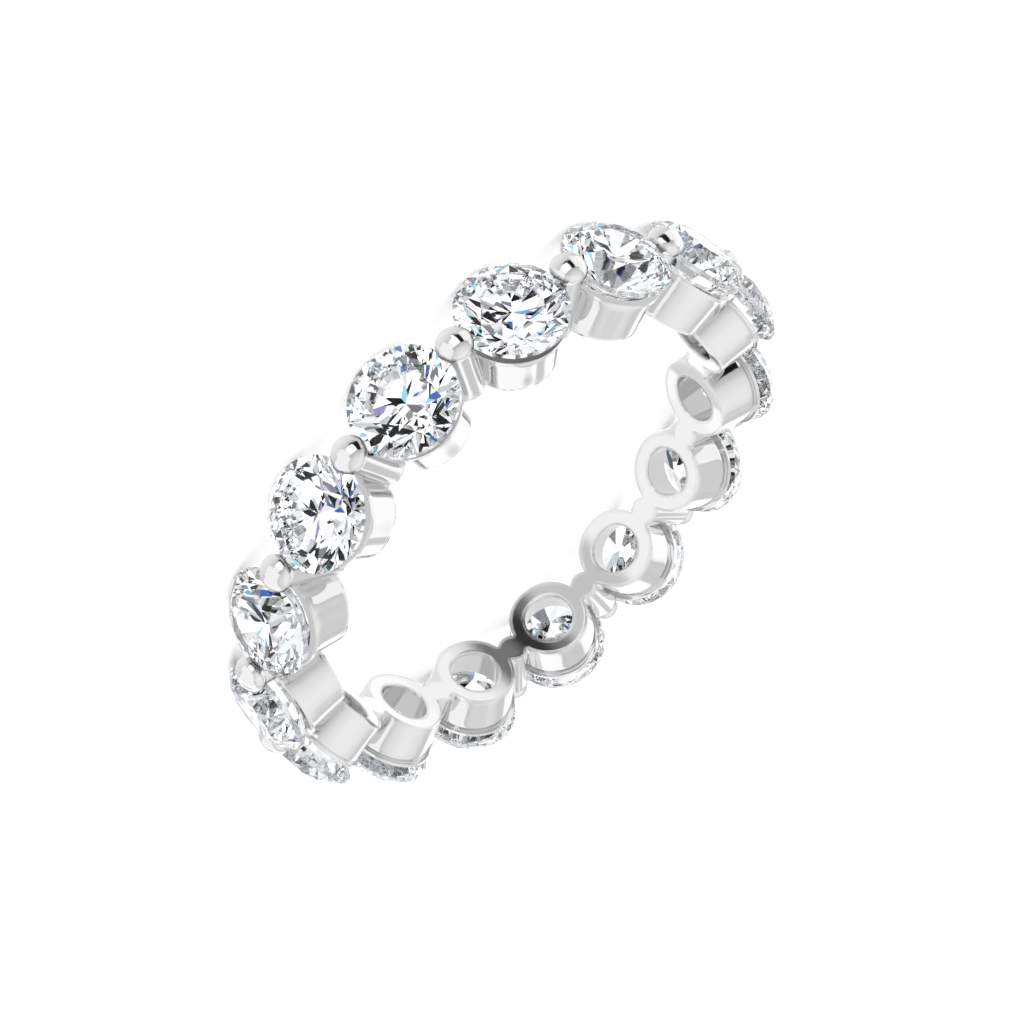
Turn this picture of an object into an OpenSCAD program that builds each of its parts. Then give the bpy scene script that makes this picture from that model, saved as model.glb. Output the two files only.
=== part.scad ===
// Full eternity ring. Round brilliants sit in tapered collets, and one dome-headed post
// between each two collets holds the edges of both stones.
// The ring lies on its side: the finger hole runs along Z, the floor is the XY plane,
// and the first stone faces -Y.

/* [Ring] */
// Inner diameter, where the finger goes
finger_d = 17.3; // [15:0.1:21]
// Number of stones round the whole ring
stone_count = 15; // [13:1:18]
// Clear space between the girdles of two neighbouring stones
stone_gap = 0.76; // [0.7:0.01:0.85]
// Height of the stones' tips above the finger
tip_clear = 0.42; // [0.36:0.01:0.5]

/* [Stones] */
// Table width, in percent of the stone's diameter
table_percent = 57; // [53:1:62]
// Slope of the kite facets above the girdle, in degrees
crown_angle = 34.5; // [32:0.5:36]
// Slope of the main facets below the girdle, in degrees
pavilion_angle = 40.75; // [40:0.25:42]
// Thickness of the girdle at its corners
girdle_h = 0.21; // [0.16:0.01:0.24]
// Length of the star facets, in percent of the way from table to girdle
star_percent = 50; // [45:1:58]
// Length of the lower halves, in percent of the way from girdle to tip
lower_half_percent = 77; // [70:1:84]
// Turn of each stone about its own axis against the one before, in degrees
stone_turn = 17; // [0:1:44]

/* [Collets] */
// Width of the foot, from the hole to the outside
foot_w = 0.59; // [0.45:0.01:0.7]
// Distance from the girdle's lower edge down to the top of the lip
lip_drop = 0.41; // [0.36:0.01:0.46]
// Height of the lip
lip_h = 0.12; // [0.1:0.01:0.15]
// How far the lip stays inside the girdle
lip_inset = 0.13; // [0.1:0.01:0.18]
// How far the lip stands out from the wall
lip_step = 0.13; // [0.12:0.01:0.16]
// Width of the light hole at the seat, in percent of the stone's diameter
seat_percent = 62; // [58:1:66]
// Clearance between a stone and the metal
seat_clear = 0.03; // [0.02:0.01:0.05]

/* [Posts] */
// Diameter of a post
post_d = 1.07; // [1:0.01:1.15]
// How far each collet's foot reaches into a post
post_bite = 0.22; // [0.18:0.01:0.26]
// Diameter of the domed head
head_d = 1.24; // [1.16:0.01:1.32]
// Height of the head's widest place above the middle of the girdle
head_rise = 0.44; // [0.38:0.01:0.5]
// Rounding of the head's rim
head_round = 0.3; // [0.26:0.01:0.34]
// Height of the dome above the head's widest place
head_h = 0.45; // [0.4:0.01:0.5]

/* [Hidden] */
$fn = 96;
finger_r = finger_d / 2;
step_angle = 360 / stone_count;
half_sin = sin(step_angle / 2);

// The stones' diameter follows from their count, their gap and the finger's size.
tip_to_middle = girdle_h / 2 + tip_clear;
stone_d = (2 * half_sin * (finger_r + tip_to_middle) - stone_gap) / (1 - half_sin * tan(pavilion_angle));
stone_r = stone_d / 2;
pavilion_h = stone_r * tan(pavilion_angle);
girdle_s = finger_r + tip_to_middle + pavilion_h;

// Heights and radii of one stone, measured from the middle of its girdle.
facet_count = 8;
facet_angle = 360 / facet_count;
half_cos = cos(facet_angle / 2);
quarter_cos = cos(facet_angle / 4);
girdle_z = girdle_h / 2;
table_r = stone_r * table_percent / 100;
crown_h = (stone_r - table_r) * tan(crown_angle);
table_z = girdle_z + crown_h;
star_r = table_r * half_cos + (stone_r - table_r * half_cos) * star_percent / 100;
star_z = girdle_z + crown_h * (stone_r - star_r * half_cos) / (stone_r - table_r);
lower_r = stone_r * (1 - lower_half_percent / 100);
lower_z = -girdle_z - pavilion_h * (1 - lower_r * half_cos / stone_r);
tip_z = -girdle_z - pavilion_h;

// How far a half facet climbs between its corners, where the round girdle bulges past their chord.
girdle_bulge = stone_r * (1 - quarter_cos) / quarter_cos;
upper_dip = (star_z - girdle_z) * girdle_bulge / (stone_r - star_r);
lower_dip = (-girdle_z - lower_z) * girdle_bulge / (stone_r - lower_r);

// Collet: its foot's radius follows from the posts beside it.
foot_r = finger_r * half_sin - post_d / 2 + post_bite;
hole_r = foot_r - foot_w;
lip_r = stone_r - lip_inset;
lip_top_s = girdle_s - girdle_z - lip_drop;
wall_top_s = lip_top_s - lip_h;
wall_slope = (lip_r - lip_step - foot_r) / (wall_top_s - finger_r);
seat_drop = seat_clear / cos(pavilion_angle);

// The light hole widens from the foot up to the seat, where it meets the stone.
seat_r = stone_r * seat_percent / 100;
seat_s = girdle_s - girdle_z - (stone_r - seat_r) * tan(pavilion_angle);
hole_slope = (seat_r - hole_r) / (seat_s - finger_r);

// Ring: the girdles are its widest part and touch the floor.
middle_z = stone_r;
first_angle = -90;
over = 1;
start_s = finger_r - over;

function stone_name(i) = str("stone_", i < 10 ? "0" : "", i);

// Puts what is drawn along +Z at a place on the ring, counted in stones from the first one.
module at_place(place) {
    translate([0, 0, middle_z])
    rotate([0, 0, first_angle + place * step_angle])
    rotate([0, 90, 0])
    children();
}

// One facet ring: points at equal angles, starting at a given angle.
function ring_points(count, start, radius, heights) = [
    for (k = [0 : count - 1])
        let (a = start + k * 360 / count)
        [radius * cos(a), radius * sin(a), heights[k % len(heights)]]
];

// A flat face split into a fan of triangles, seen clockwise from outside.
function fan(face) = [for (k = [1 : len(face) - 2]) [face[0], face[k], face[k + 1]]];
function fans(faces) = [for (face = faces) each fan(face)];

module brilliant() {
    n = facet_count;
    m = 4 * n;
    table_at = 0;
    star_at = n;
    top_at = 2 * n;
    bottom_at = top_at + m;
    lower_at = bottom_at + m;
    tip_at = lower_at + n;
    points = concat(
        ring_points(n, 0, table_r, [table_z]),
        ring_points(n, facet_angle / 2, star_r, [star_z]),
        ring_points(m, 0, stone_r, [girdle_z, girdle_z - upper_dip]),
        ring_points(m, 0, stone_r, [-girdle_z, -girdle_z + lower_dip]),
        ring_points(n, facet_angle / 2, lower_r, [lower_z]),
        [[0, 0, tip_z]]
    );
    table_face = [[for (k = [n - 1 : -1 : 0]) table_at + k]];
    stars = [for (k = [0 : n - 1]) [table_at + k, table_at + (k + 1) % n, star_at + k]];
    kites = [
        for (k = [0 : n - 1])
            [table_at + k, star_at + k, top_at + 4 * k, star_at + (k + n - 1) % n]
    ];
    upper_halves = [
        for (k = [0 : n - 1], side = [0, 1])
            let (g = 4 * k + 2 * side)
            [star_at + k, top_at + (g + 2) % m, top_at + g + 1, top_at + g]
    ];
    girdle = [
        for (g = [0 : m - 1])
            [top_at + g, top_at + (g + 1) % m, bottom_at + (g + 1) % m, bottom_at + g]
    ];
    lower_halves = [
        for (k = [0 : n - 1], side = [0, 1])
            let (g = 4 * k + 2 * side)
            [lower_at + k, bottom_at + g, bottom_at + g + 1, bottom_at + (g + 2) % m]
    ];
    mains = [
        for (k = [0 : n - 1])
            [tip_at, lower_at + (k + n - 1) % n, bottom_at + 4 * k, lower_at + k]
    ];
    polyhedron(
        points,
        fans(concat(table_face, stars, kites, upper_halves, girdle, lower_halves, mains))
    );
}

module stone(i) {
    color("aliceblue")
    at_place(i - 1)
    translate([0, 0, girdle_s])
    rotate([0, 0, i * stone_turn])
    brilliant();
}

// Room for a stone: the shape it sweeps when it turns, grown by the clearance.
module seat() {
    translate([0, 0, girdle_s])
    rotate_extrude()
    polygon([
        [0, tip_z - seat_drop],
        [lower_r, lower_z - seat_drop],
        [stone_r + seat_clear, -girdle_z - seat_clear],
        [stone_r + seat_clear, girdle_z + seat_clear],
        [star_r, star_z + seat_drop],
        [table_r, table_z + seat_drop],
        [0, table_z + seat_drop]
    ]);
}

// Outside of a collet: foot, tapered wall and lip.
module collet() {
    rotate_extrude()
    polygon([
        [0, start_s],
        [foot_r - over * wall_slope, start_s],
        [lip_r - lip_step, wall_top_s],
        [lip_r, wall_top_s],
        [lip_r, lip_top_s],
        [0, lip_top_s]
    ]);
}

// The hole that lets light in under the stone.
module light_hole() {
    translate([0, 0, start_s])
    cylinder(
        r1 = hole_r - over * hole_slope,
        r2 = seat_r,
        h = seat_s - start_s
    );
}

// A post up to its head, whose rim runs smoothly into a flatter dome.
module post() {
    head_s = girdle_s + head_rise;
    rim_at = head_d / 2 - head_round;
    dome_over = head_h - head_round;
    dome_drop = (rim_at * rim_at - dome_over * dome_over) / (2 * dome_over);
    dome_r = head_h + dome_drop;
    rotate_extrude()
    intersection() {
        translate([0, start_s])
        square([head_d, head_s + head_d]);
        union() {
            translate([0, start_s])
            square([post_d / 2, head_s - start_s]);
            translate([rim_at, head_s])
            circle(head_round);
            translate([0, head_s - dome_drop])
            intersection() {
                circle(dome_r);
                polygon([[0, 0], [2 * rim_at, 2 * dome_drop], [0, 2 * dome_r]]);
            }
        }
    }
}

// The finger's own room, which cuts every foot and post to one round.
module finger_room() {
    translate([0, 0, -over])
    cylinder(r = finger_r, h = stone_d + 2 * over);
}

module collet_band() {
    color("gainsboro")
    difference() {
        union() {
            for (i = [0 : stone_count - 1]) {
                at_place(i)
                collet();
                at_place(i + 1 / 2)
                post();
            }
        }
        for (i = [0 : stone_count - 1]) {
            at_place(i)
            seat();
            at_place(i)
            light_hole();
        }
        finger_room();
    }
}

collet_band();
for (i = [1 : stone_count]) stone(i);
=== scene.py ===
# %% [markdown]
# Eternity ring: a closed row of round brilliants in tapered collets of polished white gold.
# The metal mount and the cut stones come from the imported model, at their real size in metres.
# They are all the pieces that the real ring has, so this lesson adds none. It lights them like a
# catalogue picture and gives each a finish made of shader nodes.

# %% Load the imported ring
import math
import bpy
import numpy as np
from mathutils import Matrix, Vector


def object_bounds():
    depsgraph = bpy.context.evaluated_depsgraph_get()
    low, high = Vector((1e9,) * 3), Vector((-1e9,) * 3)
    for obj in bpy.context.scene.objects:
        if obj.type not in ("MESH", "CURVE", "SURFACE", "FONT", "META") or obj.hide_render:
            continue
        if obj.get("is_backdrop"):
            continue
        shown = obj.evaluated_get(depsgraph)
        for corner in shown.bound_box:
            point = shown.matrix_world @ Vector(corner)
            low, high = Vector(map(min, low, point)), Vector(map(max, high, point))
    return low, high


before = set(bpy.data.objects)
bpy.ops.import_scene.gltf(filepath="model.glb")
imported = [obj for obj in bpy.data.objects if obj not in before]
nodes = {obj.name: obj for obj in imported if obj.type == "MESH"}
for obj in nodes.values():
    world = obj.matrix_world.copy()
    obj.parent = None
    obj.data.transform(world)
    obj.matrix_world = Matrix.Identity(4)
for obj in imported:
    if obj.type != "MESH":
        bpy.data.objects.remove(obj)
cad_low, cad_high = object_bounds()
band = nodes["collet_band"]
stones = [nodes[name] for name in sorted(nodes) if name.startswith("stone_")]
ring_low, ring_high = np.array(cad_low), np.array(cad_high)
middle = np.array([0.0, 0.0, (ring_low[2] + ring_high[2]) / 2])
print("stones:", len(stones), "ring size in mm:", np.round(1000 * (ring_high - ring_low), 2))

# %% [markdown]
# The camera stands almost in front of one stone, a little above the ring's plane, and is rolled
# far over, so that the ring runs across the picture from one corner to the other.
# Its place comes from the angles, and its rotation from three unit vectors.

# %% Camera
AZIMUTH, ELEVATION, ROLL = (math.radians(degrees) for degrees in (0.958, 26.084, -133.355))
DISTANCE = 0.091335
LENS_MM = 93.57
SENSOR_MM = 36.0
NEAREST, FURTHEST = 0.001, 10.0
UP = np.array([0.0, 0.0, 1.0])


def unit(vector):
    """The vector divided by its length."""
    return vector / np.linalg.norm(vector)


def aim(azimuth, elevation, roll):
    """The directions right, up and backward of a camera, as three columns. Backward is the cosine
    of elevation times the level direction of azimuth, plus the sine of elevation times up. Roll
    then turns the level up vector towards the level right vector."""
    level = np.array([math.sin(azimuth), -math.cos(azimuth), 0.0])
    backward = unit(math.cos(elevation) * level + math.sin(elevation) * UP)
    level_right = unit(np.cross(UP, backward))
    level_up = np.cross(backward, level_right)
    up = math.cos(roll) * level_up + math.sin(roll) * level_right
    return np.column_stack([np.cross(up, backward), up, backward])


pose = np.eye(4)
pose[:3, :3] = aim(AZIMUTH, ELEVATION, ROLL)
pose[:3, 3] = middle + DISTANCE * pose[:3, 2]
lens = bpy.data.cameras.new("camera")
lens.lens = LENS_MM
lens.sensor_width = SENSOR_MM
lens.clip_start, lens.clip_end = NEAREST, FURTHEST
camera = bpy.data.objects.new("camera", lens)
bpy.context.collection.objects.link(camera)
camera.matrix_world = Matrix(pose.tolist())
bpy.context.scene.camera = camera
print("camera at", np.round(1000 * pose[:3, 3], 1), "mm")

# %% [markdown]
# A node tree is easier to read when each node is made by one call. These helpers set a node's
# inputs by name, so that the materials below read like a list of what is mixed.

# %% Node helpers
def add(tree, kind, links=None, **settings):
    """A new node of that kind. settings are its attributes, and links gives its inputs: a socket
    to connect or a plain value, by the input's name or number."""
    node = tree.nodes.new(kind)
    for name, value in settings.items():
        setattr(node, name, value)
    for name, value in (links or {}).items():
        if isinstance(value, bpy.types.NodeSocket):
            tree.links.new(value, node.inputs[name])
        else:
            node.inputs[name].default_value = value
    return node


def work_out(tree, operation, *values, clamp=False):
    """The result socket of one Math node on up to three sockets or numbers."""
    inputs = dict(enumerate(values))
    return add(tree, "ShaderNodeMath", inputs, operation=operation, use_clamp=clamp).outputs[0]


def mix(tree, factor, first, second, data_type="RGBA"):
    """The result socket of one Mix node: first where factor is 0, and second where it is 1."""
    inputs = {"Factor": factor, "A": first, "B": second}
    return add(tree, "ShaderNodeMix", inputs, data_type=data_type).outputs["Result"]


def grey(value):
    """A colour whose three parts are all that value."""
    return (value, value, value, 1)


# %% [markdown]
# A node group is a small tree of its own, with sockets for what comes in and what it gives. It is
# built once, and then placed like a single node wherever it is needed.

# %% Makers of materials and groups
def new_material(name):
    """An empty node material and its tree."""
    material = bpy.data.materials.new(name)
    material.use_nodes = True
    material.node_tree.nodes.clear()
    return material, material.node_tree


def new_group(name, takes, gives):
    """An empty node group. takes and gives list its sockets as (name, kind). Returns the group and
    the sockets inside it: what comes in, and where the results go."""
    group = bpy.data.node_groups.new(name, "ShaderNodeTree")
    for in_out, sockets in (("INPUT", takes), ("OUTPUT", gives)):
        for word, kind in sockets:
            group.interface.new_socket(name=word, in_out=in_out, socket_type="NodeSocket" + kind)
    come = group.nodes.new("NodeGroupInput").outputs
    return group, come, group.nodes.new("NodeGroupOutput").inputs


def place(tree, group, links):
    """The results of a group that is placed in a tree, with its inputs set by name."""
    return add(tree, "ShaderNodeGroup", links, node_tree=group).outputs


# %% [markdown]
# Collets and posts are turned on a lathe before they are soldered, so their marks run round their
# own axes, which stand like spokes in the ring. This group turns a place on the ring into the
# height, radius and turn about the nearest spoke. Working from Object coordinates keeps the
# pattern fixed to the metal, and one group serves the collets, the posts and the stones alike.

# %% Group: place about the nearest spoke
STEP = 2 * math.pi / len(stones)
FIRST = math.radians(-90)

spoke_place, come, go = new_group(
    "spoke_place",
    [("Position", "Vector"), ("Start Angle", "Float")],
    [("Height", "Float"), ("Radius", "Float"), ("Turn", "Float")],
)
tree = spoke_place
xyz = add(tree, "ShaderNodeSeparateXYZ", {0: come["Position"]}).outputs
angle = work_out(tree, "ARCTAN2", xyz["Y"], xyz["X"])
from_start = work_out(tree, "SUBTRACT", angle, come["Start Angle"])
offset = work_out(tree, "WRAP", from_start, STEP / 2, -STEP / 2)
x_square = work_out(tree, "MULTIPLY", xyz["X"], xyz["X"])
reach = work_out(tree, "SQRT", work_out(tree, "MULTIPLY_ADD", xyz["Y"], xyz["Y"], x_square))
side = work_out(tree, "MULTIPLY", reach, work_out(tree, "SINE", offset))
above = work_out(tree, "SUBTRACT", xyz["Z"], float(middle[2]))
above_square = work_out(tree, "MULTIPLY", above, above)
radius_square = work_out(tree, "MULTIPLY_ADD", side, side, above_square)
tree.links.new(work_out(tree, "MULTIPLY", reach, work_out(tree, "COSINE", offset)), go["Height"])
tree.links.new(work_out(tree, "SQRT", radius_square), go["Radius"])
tree.links.new(work_out(tree, "ARCTAN2", above, side), go["Turn"])
print("spokes: one every", round(math.degrees(STEP), 1), "degrees")

# %% [markdown]
# Even a mirror polish keeps the faintest trace of the wheel. The group draws it as noise that is
# stretched round the spoke: fine across the marks, and long along them. A second, broader noise
# stands for the slow change in brightness that hand polishing leaves.

# %% Group: polish
MARKS_PER_RADIAN = 0.8

polish, come, go = new_group(
    "polish",
    [("Position", "Vector")] + [
        (word, "Float") for word in ("Height", "Radius", "Turn", "Mark Width", "Cloud Size")
    ],
    [("Marks", "Float"), ("Cloud", "Float")],
)
tree = polish
across = add(tree, "ShaderNodeCombineXYZ", {
    "X": work_out(tree, "DIVIDE", come["Height"], come["Mark Width"]),
    "Y": work_out(tree, "DIVIDE", come["Radius"], come["Mark Width"]),
    "Z": work_out(tree, "MULTIPLY", come["Turn"], MARKS_PER_RADIAN),
}).outputs[0]
per_cloud = work_out(tree, "DIVIDE", 1.0, come["Cloud Size"])
inputs = {0: come["Position"], 3: per_cloud}
broad = add(tree, "ShaderNodeVectorMath", inputs, operation="SCALE").outputs[0]
for word, where, detail in [("Marks", across, 2.0), ("Cloud", broad, 1.0)]:
    noise = add(tree, "ShaderNodeTexNoise", {"Vector": where, "Scale": 1.0, "Detail": detail})
    tree.links.new(noise.outputs[0], go[word])
print("polish group nodes:", len(tree.nodes))

# %% [markdown]
# The metal's finish depends on where it is. A place within a post's reach of the post's spoke
# takes its marks from there, and any other place from the collet's. Polishing rounds every edge,
# and the finger wears those of the feet most. A soft shoulder runs up to each collet's lip: it is
# 0 where it starts, grows with the square of the height, and is 1 at the lip.

# %% White gold: posts, feet and shoulders
# Lengths in metres. FOOT_HEIGHT and LIP_HEIGHT are measured from the axis of the ring, and
# POST_REACH from that of the post.
POST_REACH = 0.00066
FOOT_HEIGHT = 0.0090
LIP_HEIGHT = 0.01014
SHOULDER_HEIGHT = 0.0003
EASE = 0.00006
FOOT_EASE = 0.00015

gold, tree = new_material("white_gold")
here = add(tree, "ShaderNodeTexCoord").outputs["Object"]
collet_at = place(tree, spoke_place, {"Position": here, "Start Angle": FIRST})
post_at = place(tree, spoke_place, {"Position": here, "Start Angle": FIRST + STEP / 2})
on_post = work_out(tree, "LESS_THAN", post_at["Radius"], POST_REACH)

xyz = add(tree, "ShaderNodeSeparateXYZ", {0: here}).outputs
y_square = work_out(tree, "MULTIPLY", xyz["Y"], xyz["Y"])
reach = work_out(tree, "SQRT", work_out(tree, "MULTIPLY_ADD", xyz["X"], xyz["X"], y_square))
at_foot = work_out(tree, "LESS_THAN", reach, FOOT_HEIGHT)
ease = work_out(tree, "MULTIPLY_ADD", at_foot, FOOT_EASE, EASE)
up = work_out(tree, "SUBTRACT", collet_at["Height"], LIP_HEIGHT - SHOULDER_HEIGHT)
climb = work_out(tree, "DIVIDE", up, SHOULDER_HEIGHT, clamp=True)
shoulder = work_out(tree, "POWER", climb, 2.0)
print("radius that eases the edges, in mm:", round(1e3 * EASE, 3),
      "and at the feet:", round(1e3 * (EASE + FOOT_EASE), 3))

# %% [markdown]
# White gold is a pale grey metal, here with a mirror polish. It has no colour of its own to show
# beyond a trace of warmth, so nearly all of its look is what it mirrors. It sends back about two
# thirds of the light, which shows where one collet mirrors the next and the grey doubles. The
# marks change the roughness and a very shallow bump, and the clouds shift the tone a little. A
# Bevel node eases the edges, and the bump draws the shoulder, which is too shallow to need a shape
# of its own.

# %% White gold: finish
# The share of light that it mirrors, its two tones, its roughness on and off a mark, and how deep
# the shoulder and the marks are, in metres.
MIRRORED = 0.65
GOLD_TONES = (0.64, 0.64, 0.64, 1), (0.66, 0.66, 0.658, 1)
SMOOTHEST, ROUGHEST = 0.015, 0.06
SHOULDER_DROP = 0.000025
MARK_DEPTH = 1e-7

worn = place(tree, polish, {
    "Position": here, "Mark Width": 0.00004, "Cloud Size": 0.0016,
    **{word: mix(tree, on_post, collet_at[word], post_at[word], "FLOAT")
       for word in ("Height", "Radius", "Turn")},
})
off_post = work_out(tree, "SUBTRACT", on_post, 1.0)
lowered = work_out(tree, "MULTIPLY", shoulder, off_post)
scratched = work_out(tree, "MULTIPLY", worn["Marks"], MARK_DEPTH)
bump = add(tree, "ShaderNodeBump", {
    "Height": work_out(tree, "MULTIPLY_ADD", lowered, SHOULDER_DROP, scratched),
    "Strength": 1.0, "Distance": 1.0,
    "Normal": add(tree, "ShaderNodeBevel", {"Radius": ease}).outputs[0],
})
roughness = add(tree, "ShaderNodeMapRange", {
    "Value": worn["Marks"], "To Min": SMOOTHEST, "To Max": ROUGHEST,
})
shader = add(tree, "ShaderNodeBsdfPrincipled", {
    "Base Color": mix(tree, worn["Cloud"], *GOLD_TONES), "Metallic": 1.0,
    "Roughness": roughness.outputs[0], "Normal": bump.outputs[0],
})
add(tree, "ShaderNodeOutputMaterial", {"Surface": shader.outputs[0]})
print("white gold nodes:", len(tree.nodes))

# %% [markdown]
# A diamond is clear all through, and bends light more strongly than any other clear stone. Its
# polished facets are flat mirrors with no roughness. Only the girdle, the thin edge that the cutter
# grinds round, is left slightly matt. The girdle is found as a thin slice at one height on the
# spoke, near the stone's full radius. A breath of cloud in the colour keeps it from being perfect.
# The specular tint dims the mirror on top of the facets, because a stone's life comes from within.

# %% Diamond: clear facets and matt girdle
# In metres: the girdle's middle and half height on the spoke, and the radius that it begins at.
GIRDLE_HEIGHT = 0.01077849
GIRDLE_HALF = 0.000098
GIRDLE_RADIUS = 0.00182
GIRDLE_ROUGHNESS, ROUGHNESS_OF_MARKS = 0.05, 0.2
DIAMOND_IOR = 2.417
CLEAR_TONES = (1, 1, 1, 1), (0.975, 0.985, 1, 1)
FACET_MIRROR = grey(0.08)

diamond, tree = new_material("diamond")
here = add(tree, "ShaderNodeTexCoord").outputs["Object"]
stone_at = place(tree, spoke_place, {"Position": here, "Start Angle": FIRST})
from_girdle = work_out(tree, "SUBTRACT", stone_at["Height"], GIRDLE_HEIGHT)
at_girdle = work_out(tree, "LESS_THAN", work_out(tree, "ABSOLUTE", from_girdle), GIRDLE_HALF)
at_edge = work_out(tree, "GREATER_THAN", stone_at["Radius"], GIRDLE_RADIUS)
ground = work_out(tree, "MULTIPLY", at_girdle, at_edge)
worn = place(tree, polish, {
    "Position": here, "Mark Width": 0.00003, "Cloud Size": 0.0009,
    **{word: stone_at[word] for word in ("Height", "Radius", "Turn")},
})
matt = work_out(tree, "MULTIPLY_ADD", worn["Marks"], ROUGHNESS_OF_MARKS, GIRDLE_ROUGHNESS)
cut_stone = add(tree, "ShaderNodeBsdfPrincipled", {
    "Base Color": mix(tree, worn["Cloud"], *CLEAR_TONES),
    "Roughness": work_out(tree, "MULTIPLY", ground, matt), "IOR": DIAMOND_IOR,
    "Transmission Weight": 1.0, "Specular Tint": FACET_MIRROR,
}).outputs[0]
print("girdle's matt slice:", round(2e3 * GIRDLE_HALF, 3), "mm high")

# %% [markdown]
# In a mirror as small as a collet, a whole stone is only a few noisy specks. So a ray that has
# been mirrored by the metal and has not been inside a stone yet looks straight through it, a
# little dimmed at each surface, to the clean studio behind. The dimming draws the dark line where
# a post's head or a lip mirrors the stone beside it.

# %% Diamond: as the metal sees it
# The Light Path node counts in whole bounces: below half a bounce is none, and above it is some.
HALF_A_BOUNCE = 0.5
DIMMED = grey(0.8)

path = add(tree, "ShaderNodeLightPath").outputs
outside = work_out(tree, "LESS_THAN", path["Transmission Depth"], HALF_A_BOUNCE)
surface = add(tree, "ShaderNodeMixShader", {
    0: work_out(tree, "MULTIPLY", path["Is Glossy Ray"], outside),
    1: cut_stone,
    2: add(tree, "ShaderNodeBsdfTransparent", {"Color": DIMMED}).outputs[0],
})
add(tree, "ShaderNodeOutputMaterial", {"Surface": surface.outputs[0]})

for piece, finish in [(band, gold)] + [(stone, diamond) for stone in stones]:
    piece.data.materials.clear()
    piece.data.materials.append(finish)
print("diamond nodes:", len(tree.nodes), "finished pieces:", 1 + len(stones))

# %% [markdown]
# The floor is a sheet of pale paper, far larger than the picture. It takes the ring's soft shadow,
# but the metal and the stones don't mirror it: like a jeweller's picture, they mirror the studio
# all round, as if the ring stood on clear glass.

# %% Floor
FLOOR_HALF = 0.6
PAPER_TONES = grey(0.93), grey(0.95)
GRAINS_PER_METRE = 900.0

floor_mesh = bpy.data.meshes.new("floor")
corners = FLOOR_HALF * np.array([(-1, -1, 0), (1, -1, 0), (1, 1, 0), (-1, 1, 0)])
floor_mesh.from_pydata(corners.tolist(), [], [(0, 1, 2, 3)])
floor = bpy.data.objects.new("floor", floor_mesh)
bpy.context.collection.objects.link(floor)
floor.visible_glossy = False
floor.visible_transmission = False

paper, tree = new_material("floor_paper")
here = add(tree, "ShaderNodeTexCoord").outputs["Object"]
grain = add(tree, "ShaderNodeTexNoise", {
    "Vector": here, "Scale": GRAINS_PER_METRE, "Detail": 3.0,
})
shader = add(tree, "ShaderNodeBsdfPrincipled", {
    "Base Color": mix(tree, grain.outputs[0], *PAPER_TONES),
    "Roughness": 0.9, "Specular IOR Level": 0.0,
})
add(tree, "ShaderNodeOutputMaterial", {"Surface": shader.outputs[0]})
floor_mesh.materials.append(paper)
floor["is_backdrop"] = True
print("floor:", 2 * FLOOR_HALF, "m square")

# %% [markdown]
# Polished metal and cut stones show their surroundings, so the light is a whole studio, painted
# on the sky as panels. Each panel is a rectangle in azimuth and elevation with soft edges, and
# hangs in front of what is behind it. Azimuth 0 looks from the ring along -Y, to the camera.

# %% Group: studio panel
PANEL_INPUTS = (
    "Azimuth", "Elevation", "Middle Azimuth", "Middle Elevation", "Half Width", "Half Height",
    "Softness", "Brightness", "Behind",
)
panel, come, go = new_group(
    "studio_panel", [(word, "Float") for word in PANEL_INPUTS], [("Light", "Float")]
)
tree = panel


def inside(distance, half):
    """1 inside the panel and 0 outside: half minus the size of distance, divided by the softness,
    plus a half, and held between 0 and 1."""
    room = work_out(tree, "SUBTRACT", half, work_out(tree, "ABSOLUTE", distance))
    return work_out(tree, "ADD", work_out(tree, "DIVIDE", room, come["Softness"]), 0.5, clamp=True)


turn = work_out(tree, "SUBTRACT", come["Azimuth"], come["Middle Azimuth"])
turn = work_out(tree, "WRAP", turn, 180.0, -180.0)
tilt = work_out(tree, "SUBTRACT", come["Elevation"], come["Middle Elevation"])
wide, high = inside(turn, come["Half Width"]), inside(tilt, come["Half Height"])
cover = {"Value": work_out(tree, "MULTIPLY", wide, high)}
cover = add(tree, "ShaderNodeMapRange", cover, interpolation_type="SMOOTHSTEP").outputs[0]
tree.links.new(mix(tree, cover, come["Behind"], come["Brightness"], "FLOAT"), go["Light"])
print("panel group takes:", ", ".join(PANEL_INPUTS))

# %% [markdown]
# White walls stand all round, with sheets of paper hung above the ring and laid below it. Each
# sheet darkens towards its edge, which is what gives a round collet its soft grey bands.
# Brightness is written as it looks on the screen in the polished metal, because that is how it
# is judged, and a formula turns it into light. In the sky's node tree, the Generated coordinate is
# the direction that a ray flies off in.

# %% Sky directions and the two sheets
# Elevation in degrees, and the sheets' brightness there.
SHEETS = [
    (-90, 0.92), (-60, 0.88), (-44, 0.84), (-32, 0.79), (20, 0.70), (27, 0.74), (31, 0.765),
    (35, 0.80), (40, 0.84), (47, 0.865), (57, 0.89), (66, 0.91), (76, 0.92),
]

world = bpy.data.worlds.new("studio")
bpy.context.scene.world = world
world.use_nodes = True
tree = world.node_tree
tree.nodes.clear()
look = add(tree, "ShaderNodeTexCoord").outputs["Generated"]
xyz = add(tree, "ShaderNodeSeparateXYZ", {0: look}).outputs
forward = work_out(tree, "MULTIPLY", xyz["Y"], -1.0)
azimuth = work_out(tree, "DEGREES", work_out(tree, "ARCTAN2", xyz["X"], forward))
elevation = work_out(tree, "DEGREES", work_out(tree, "ARCSINE", xyz["Z"]))


def linear(display):
    """Light that the metal shows at that brightness on a screen: ((display + 0.055) / 1.055) to the
    power 2.4, over the share of light that the metal mirrors."""
    return ((display + 0.055) / 1.055) ** 2.4 / MIRRORED


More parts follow.
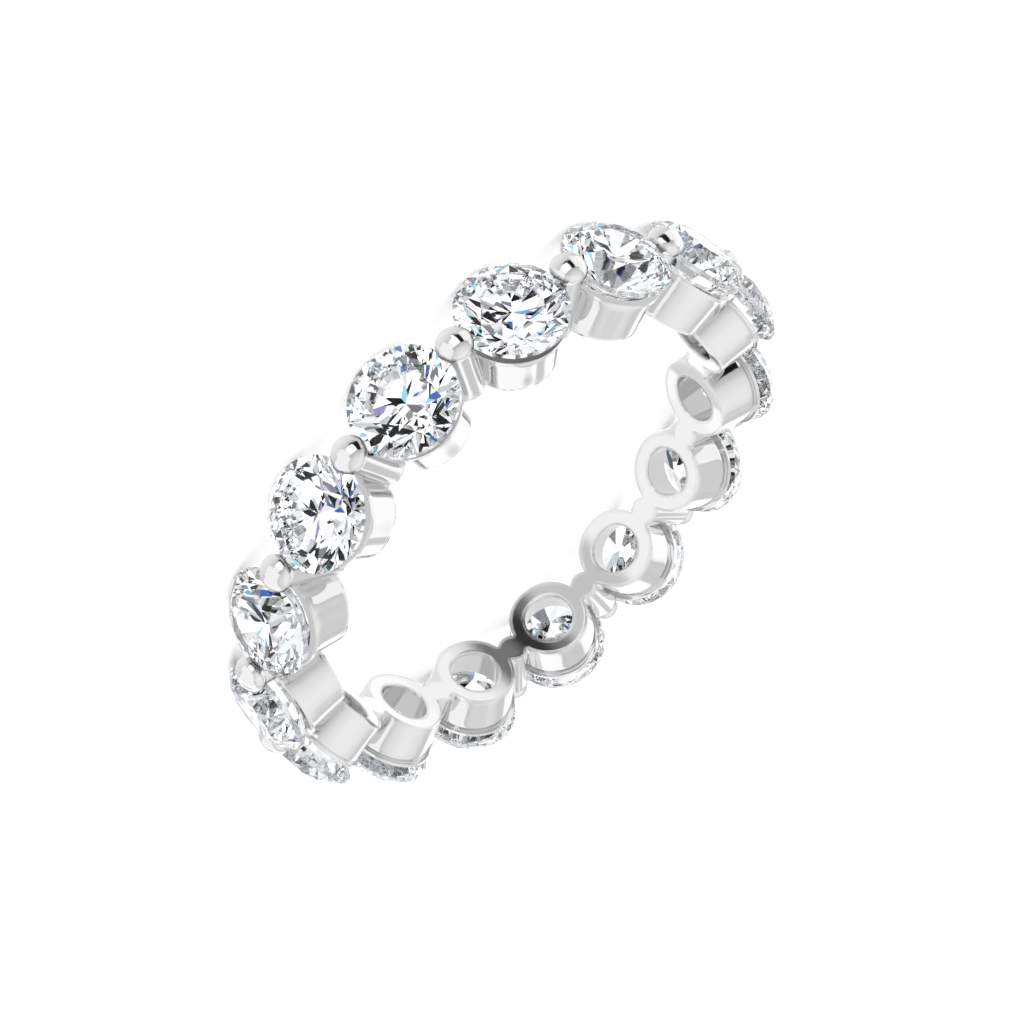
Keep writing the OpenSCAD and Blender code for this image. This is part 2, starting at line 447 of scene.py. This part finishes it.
def bands(factor, stops, interpolation):
    """The colour that factor falls on in the list of stops (start, grey or colour)."""
    ramp = add(tree, "ShaderNodeValToRGB", {0: factor})
    ramp.color_ramp.interpolation = interpolation
    while len(ramp.color_ramp.elements) < len(stops):
        ramp.color_ramp.elements.new(1.0)
    for element, (start, colour) in zip(ramp.color_ramp.elements, stops):
        element.position = start
        element.color = (*np.broadcast_to(colour, 3), 1)
    return ramp.outputs[0]


# 0 is straight down, 0.5 is level and 1 is straight up.
rise = work_out(tree, "MULTIPLY_ADD", elevation, 1 / 180, 0.5)
sheets = bands(rise, [(el / 180 + 0.5, linear(shown)) for el, shown in SHEETS], "LINEAR")
print("tones of the sheets:", len(SHEETS))

# %% [markdown]
# The panels are hung one after another. Pale shades at the sides give the collets' walls their
# soft grey ends. A dark flag low on the left draws the one dark foot, and a white lamp with a black
# strip beside it draws the small white square and the black bar on each post's head.

# %% Studio walls
WALL = 0.98
# Middle azimuth and elevation, half width and height and softness, all in degrees, and brightness.
# None stands for the sheets' own brightness.
STUDIO = {
    "front wall": (0, 0, 104, 31, 5, 0.945),
    "ceiling": (0, 90, 200, 60, 2, None),
    "front apron": (-32, 24, 50, 8, 3, None),
    "back apron": (180, 25, 9, 6, 4, 0.78),
    "right shade": (130, 45, 22, 8, 10, 0.83),
    "left shade": (-138, 42, 36, 10, 13, 0.80),
    "right wall": (128, -13, 8, 18, 3, 0.82),
    "underside": (0, -62, 200, 31, 2, None),
    "pale patch": (40, -36, 22, 8, 6, 0.94),
    "skirt": (-10, -25, 26, 6, 8, 0.76),
    "flag shoulder": (-60, -25, 10, 6, 12, 0.86),
    "dark flag": (-42, -25, 19, 6, 9, 0.45),
    "flag core": (-38, -25, 6, 5, 8, 0.2),
    "lamp": (-20, -2, 19, 19, 2, 1.1),
    "black strip": (-51, -2, 11.5, 21, 1.5, 0.12),
}

walls = linear(WALL)
for *measures, shown in STUDIO.values():
    light = sheets if shown is None else linear(shown)
    values = azimuth, elevation, *measures, light, walls
    walls = place(tree, panel, dict(zip(PANEL_INPUTS, values)))["Light"]
print("studio panels:", ", ".join(STUDIO))

# %% [markdown]
# A cut diamond is a heap of small mirrors: each facet shows a different scrap of the room, so the
# stone is mostly bright, with black and dark grey splinters, and here and there a splinter of pure
# colour, split from the light. The render has no such splitting. Light that has passed through a
# stone therefore meets a second room, made of cells: most are white, some grey or black, and a few
# blue, cyan, violet or green.

# %% Sparkle: cells of grey and colour
# Where each tone starts, as a share of the cells, and the tone.
GREYS = [
    (0.0, 1.36), (0.12, 1.29), (0.24, (1.22, 1.24, 1.25)), (0.38, (1.11, 1.14, 1.15)),
    (0.52, (0.93, 0.97, 0.98)), (0.71, (0.60, 0.64, 0.66)), (0.80, (0.22, 0.24, 0.26)),
    (0.87, 0.0),
]
COLOURS = [
    (0.0, (0.04, 0.13, 0.45)), (0.30, (0.16, 0.42, 0.75)), (0.48, (0.32, 0.72, 0.90)),
    (0.60, (0.34, 0.32, 0.60)), (0.80, (0.02, 0.13, 0.11)),
]
# Cells to a radian of each kind, and the share of the coloured cells that stay grey.
GREY_CELLS = 2.6
COLOUR_CELLS = 7.5
COLOURLESS = 0.945


def scatter(size, stops):
    """Cells of that many to a radian, each with the colour that its own random number falls on in
    the list of stops (start, colour). Gives the colour and a second random number of the cell."""
    cells = add(tree, "ShaderNodeTexVoronoi", {"Vector": look, "Scale": size, "Randomness": 1.0})
    lots = add(tree, "ShaderNodeSeparateColor", {0: cells.outputs["Color"]}).outputs
    return bands(lots["Red"], stops, "CONSTANT"), lots["Green"]


greys, _ = scatter(GREY_CELLS, GREYS)
colours, lot = scatter(COLOUR_CELLS, COLOURS)
sparkle = mix(tree, work_out(tree, "GREATER_THAN", lot, COLOURLESS), greys, colours)
print("sparkle greys and colours:", len(GREYS), len(COLOURS))

# %% [markdown]
# Towards the floor the cells fade into white paper, which a stone that is seen edge on shows most.
# A black coat stands where the photographer would, and gives the stones that face it their dark
# star.

# %% Sparkle: white paper below and a black coat in front
# The paper's light, its share where there is most of it, and the height of the direction, from -1
# down to 1 up, where there is most and where there is none.
PAPER_LIGHT = grey(1.15)
MOST_PAPER = 0.8
MOST_AT, NONE_AT = -0.65, -0.2
COAT_DIRECTION = (0.015, -0.898, 0.440)
COAT_HALF = math.radians(10)
COAT_BLACK = (0.005, 0.006, 0.008, 1)

paper_share = add(tree, "ShaderNodeMapRange", {
    "Value": xyz["Z"], "From Min": MOST_AT, "From Max": NONE_AT,
    "To Min": MOST_PAPER, "To Max": 0.0,
}).outputs[0]
sparkle = mix(tree, paper_share, sparkle, PAPER_LIGHT)
facing = add(tree, "ShaderNodeVectorMath", {0: look, 1: COAT_DIRECTION}, operation="DOT_PRODUCT")
coat = work_out(tree, "GREATER_THAN", facing.outputs["Value"], math.cos(COAT_HALF))
sparkle = mix(tree, coat, sparkle, COAT_BLACK)
print("coat:", round(2 * math.degrees(COAT_HALF)), "degrees wide")

# %% [markdown]
# The Light Path node tells who is looking. A ray that has passed through a stone meets the sparkle,
# and one from the metal meets the walls. The camera, and the floor's soft light, meet an even glow,
# bright enough for the floor to turn out white. Many small mirrors facing each other need many
# bounces, and the plain Standard view keeps white paper white.

# %% Who sees what
GLOW = grey(2.3)

path = add(tree, "ShaderNodeLightPath").outputs
through = work_out(tree, "GREATER_THAN", path["Transmission Depth"], HALF_A_BOUNCE)
undiffused = work_out(tree, "LESS_THAN", path["Diffuse Depth"], HALF_A_BOUNCE)
room = mix(tree, work_out(tree, "MULTIPLY", through, undiffused), walls, sparkle)
diffused = work_out(tree, "GREATER_THAN", path["Diffuse Depth"], HALF_A_BOUNCE)
glow = mix(tree, work_out(tree, "MAXIMUM", path["Is Camera Ray"], diffused), room, GLOW)
background = add(tree, "ShaderNodeBackground", {"Color": glow, "Strength": 1.0})
add(tree, "ShaderNodeOutputWorld", {"Surface": background.outputs[0]})
world.cycles.sampling_method = "NONE"

scene = bpy.context.scene
scene.view_settings.view_transform = "Standard"
scene.cycles.max_bounces = 32
scene.cycles.glossy_bounces = 24
scene.cycles.transmission_bounces = 32
print("studio nodes:", len(tree.nodes))

# %% [markdown]
# Last, the box of the finished ring is measured again. It is the same as the imported one's,
# because the finishes changed no shape.

# %% Measure the finished ring
low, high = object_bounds()
